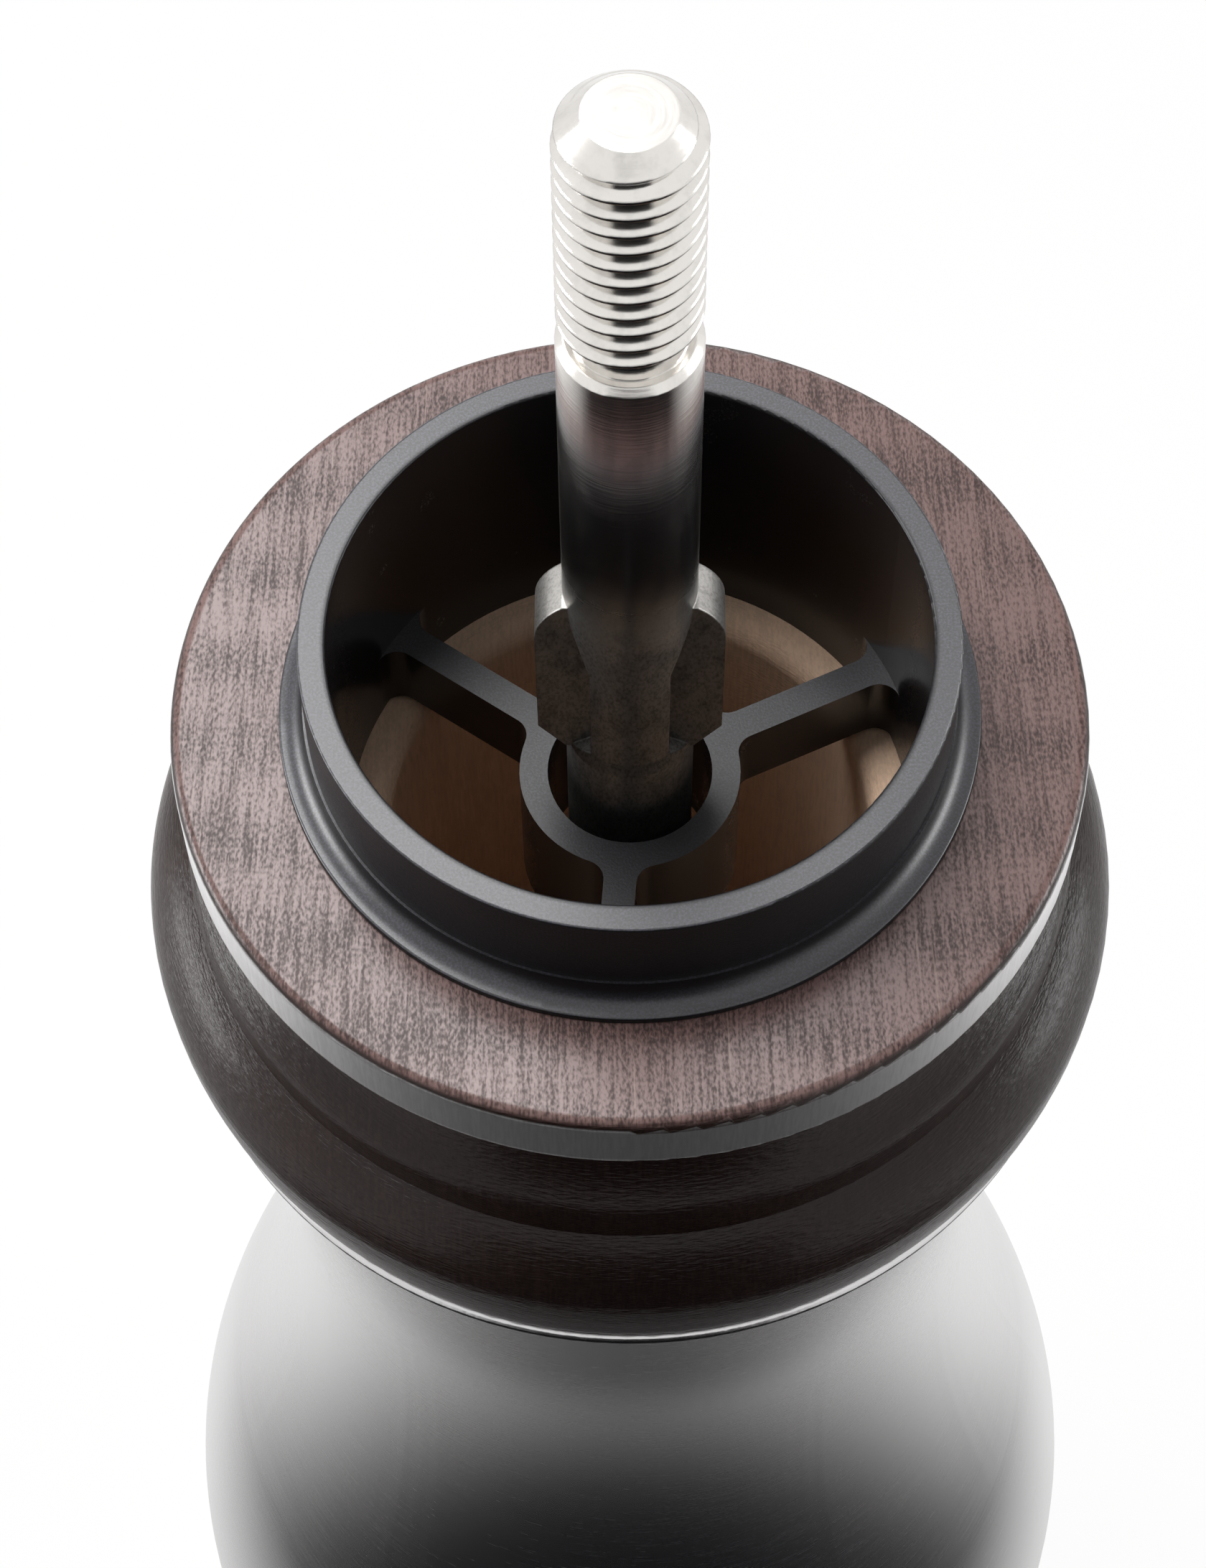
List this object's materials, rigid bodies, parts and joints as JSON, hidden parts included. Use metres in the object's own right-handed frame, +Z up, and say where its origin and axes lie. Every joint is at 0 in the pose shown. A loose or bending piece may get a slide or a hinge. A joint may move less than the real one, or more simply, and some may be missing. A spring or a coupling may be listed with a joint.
{
  "type": "hand coffee mill",
  "caption": "Hand coffee mill with a turned dark wood neck, a waisted satin steel jacket, a spoked filler insert, conical burrs and a lift-off grounds cup; crank off.",
  "frame": {"origin": "centre of the foot, on the table", "axes": "+Z up along the drive shaft, -Y towards the side the picture looks from"},
  "size_m": [0.0604, 0.0604, 0.1822],
  "materials": {
    "dark_wood": "dark stained turned beech, clear lacquer",
    "black_plastic": "fine matte moulding",
    "satin_steel": "satin",
    "bright_steel": "bright, machined and pressed",
    "burr_steel": "hardened, ground",
    "zinc_plate": "zinc plated",
    "spring_steel": "drawn wire",
    "cast_alloy": "die cast",
    "bush_bronze": "sintered",
    "black_rubber": "matte"
  },
  "bodies": {
    "cup": {"cup_shell": "satin_steel", "cup_rim": "black_plastic", "foot_pad": "black_rubber"},
    "mill": {"wood_body": "dark_wood", "filler_insert": "black_plastic", "steel_jacket": "satin_steel", "burr_carrier": "black_plastic", "carrier_screws": "zinc_plate", "cup_seal": "black_rubber", "bearing_bridge": "cast_alloy", "bridge_bush": "bush_bronze", "thrust_washer": "zinc_plate", "outer_burr": "burr_steel", "burr_keys": "zinc_plate", "burr_spring": "spring_steel"},
    "seat": {"spring_seat": "zinc_plate"},
    "shaft": {"drive_shaft": "bright_steel", "retaining_clip": "spring_steel", "inner_burr": "burr_steel", "lock_washer": "zinc_plate", "burr_nut": "zinc_plate"}
  },
  "joints": [
    {"name": "cup_lift", "type": "slide", "parent": "cup", "child": "mill", "axis": [0, 0, 1], "range_m": [0, 0.06]},
    {"name": "shaft_rise", "type": "slide", "parent": "mill", "child": "seat", "axis": [0, 0, 1], "range_m": [0, 0.0008], "stiffness_N_per_m": 1700, "springref_m": -0.002, "deforming": ["burr_spring"]},
    {"name": "shaft_spin", "type": "hinge", "parent": "seat", "child": "shaft", "pos_m": [0, 0, 0.1], "axis": [0, 0, 1], "continuous": true}
  ]
}
